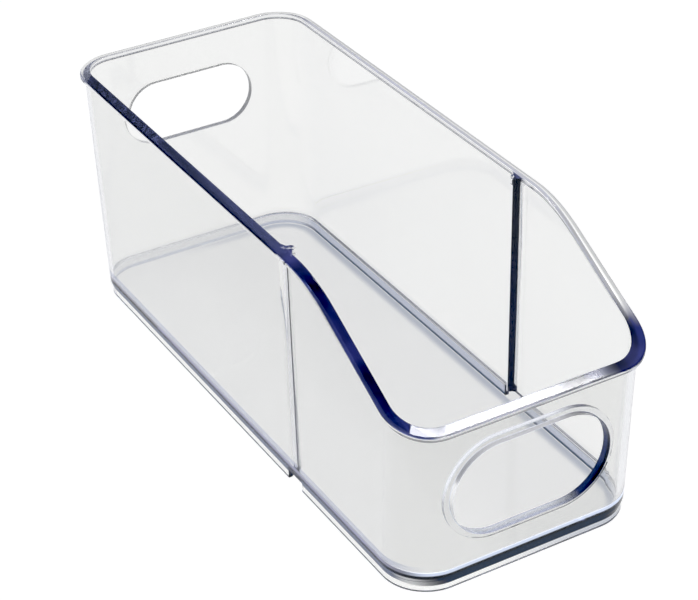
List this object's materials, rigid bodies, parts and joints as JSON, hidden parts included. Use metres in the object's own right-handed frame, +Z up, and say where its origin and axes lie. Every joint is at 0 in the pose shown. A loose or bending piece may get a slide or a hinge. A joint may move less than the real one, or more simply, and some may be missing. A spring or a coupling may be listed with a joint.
{
  "type": "fridge drawer organizer bin",
  "caption": "Clear open-topped bin for a fridge shelf or drawer, with a high back, a ramp down to a low front, a hand slot in each end, a rim lip, divider rails and a low foot ring.",
  "frame": {"origin": "centre of the footprint, on the plane that the foot ring rests on", "axes": "+Z up, +Y towards the high back wall, +X to the right when the bin is seen from its low front"},
  "size_m": [0.126, 0.316, 0.122],
  "materials": {
    "clear_body": "clear gloss moulding, almost colourless through its faces",
    "tinted_edge": "the same clear gloss moulding, dark blue where it is seen edge on"
  },
  "bodies": {
    "root": {"floor_panel": "clear_body", "wall_left": "clear_body", "wall_right": "clear_body", "wall_back": "clear_body", "wall_front": "clear_body", "wall_corner_back_left": "clear_body", "wall_corner_back_right": "clear_body", "wall_corner_front_left": "clear_body", "wall_corner_front_right": "clear_body", "foot_left_rear": "tinted_edge", "foot_left_front": "tinted_edge", "foot_right_rear": "tinted_edge", "foot_right_front": "tinted_edge", "foot_back": "tinted_edge", "foot_front": "tinted_edge", "foot_corner_back_left": "tinted_edge", "foot_corner_back_right": "tinted_edge", "foot_corner_front_left": "tinted_edge", "foot_corner_front_right": "tinted_edge", "rim_left": "tinted_edge", "rim_ramp_left": "tinted_edge", "rim_right": "tinted_edge", "rim_ramp_right": "tinted_edge", "rim_back": "tinted_edge", "rim_front": "tinted_edge", "rim_corner_back_left": "tinted_edge", "rim_corner_back_right": "tinted_edge", "rim_corner_front_left": "tinted_edge", "rim_corner_front_right": "tinted_edge", "rail_right": "tinted_edge", "rail_left": "tinted_edge"}
  },
  "joints": []
}
